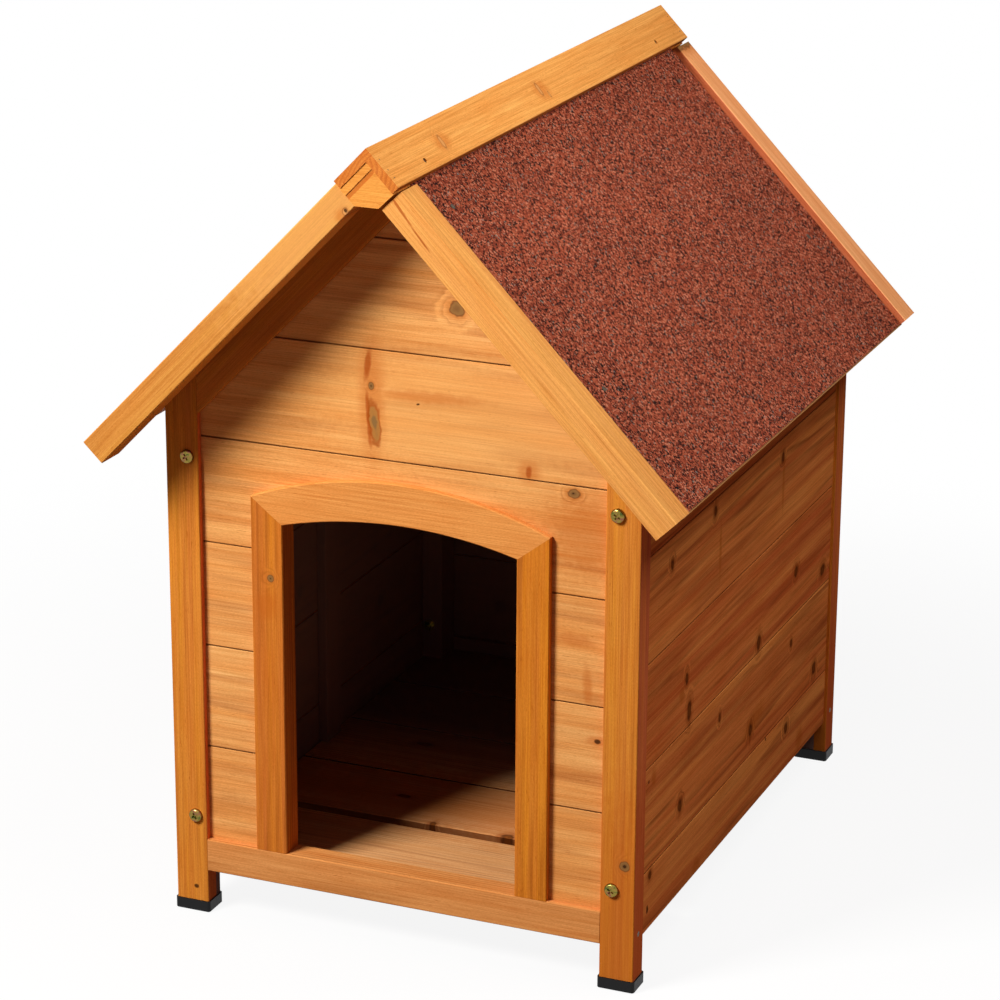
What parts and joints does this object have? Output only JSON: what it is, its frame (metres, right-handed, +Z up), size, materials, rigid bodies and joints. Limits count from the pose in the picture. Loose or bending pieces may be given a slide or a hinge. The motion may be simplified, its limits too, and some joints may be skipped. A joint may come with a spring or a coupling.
{
  "type": "dog house",
  "caption": "Wooden dog house on four capped legs: boarded walls, arched doorway in the front gable, slatted floor and a steep felted saddle roof under a ridge cap.",
  "frame": {"origin": "on the ground under the middle of the kennel's bounding box", "axes": "+X to the right seen from the front, +Y from the doorway to the rear, +Z up"},
  "size_m": [0.6864, 0.88, 0.9346],
  "materials": {
    "frame_timber": "planed softwood, honey-orange stain, satin",
    "wall_board": "tongue-and-groove softwood, honey-orange stain, satin",
    "floor_board": "planed softwood, honey-orange stain, satin",
    "plywood": "stained thin plywood",
    "roof_felt": "mineral-surfaced roofing felt, brick red, rough",
    "foot_cap": "moulded black plastic",
    "zinc_fastener": "yellow-zinc-plated steel",
    "screw_steel": "dull plated steel"
  },
  "bodies": {
    "root": {"barge_board_front_left": "frame_timber", "barge_board_front_right": "frame_timber", "barge_board_rear_left": "frame_timber", "barge_board_rear_right": "frame_timber", "bolt_nuts": "zinc_fastener", "bolt_washers": "zinc_fastener", "bolts_front": "zinc_fastener", "bolts_rear": "zinc_fastener", "corner_batten_front_left": "frame_timber", "corner_batten_front_right": "frame_timber", "corner_batten_rear_left": "frame_timber", "corner_batten_rear_right": "frame_timber", "door_jamb_left": "frame_timber", "door_jamb_right": "frame_timber", "door_lintel": "frame_timber", "floor_bearer_left": "frame_timber", "floor_bearer_right": "frame_timber", "floor_boards": "floor_board", "floor_cleat_left": "frame_timber", "floor_cleat_right": "frame_timber", "foot_cap_front_left": "foot_cap", "foot_cap_front_right": "foot_cap", "foot_cap_rear_left": "foot_cap", "foot_cap_rear_right": "foot_cap", "front_board_over_door": "wall_board", "front_boards_left": "wall_board", "front_boards_right": "wall_board", "front_gable_boards": "wall_board", "gable_batten_front_left": "frame_timber", "gable_batten_front_right": "frame_timber", "gable_batten_rear_left": "frame_timber", "gable_batten_rear_right": "frame_timber", "middle_batten_left": "frame_timber", "middle_batten_right": "frame_timber", "post_front_left": "frame_timber", "post_front_right": "frame_timber", "post_rear_left": "frame_timber", "post_rear_right": "frame_timber", "rail_front": "frame_timber", "rail_rear": "frame_timber", "rail_screws": "screw_steel", "rear_boards": "wall_board", "rear_gable_boards": "wall_board", "ridge_block_front": "frame_timber", "ridge_block_rear": "frame_timber", "ridge_board_left": "frame_timber", "ridge_board_right": "frame_timber", "ridge_nails": "screw_steel", "ridge_screws": "screw_steel", "roof_deck_left": "plywood", "roof_deck_right": "plywood", "roof_felt_left": "roof_felt", "roof_felt_right": "roof_felt", "roof_screws": "screw_steel", "side_boards_left": "wall_board", "side_boards_right": "wall_board"}
  },
  "joints": []
}
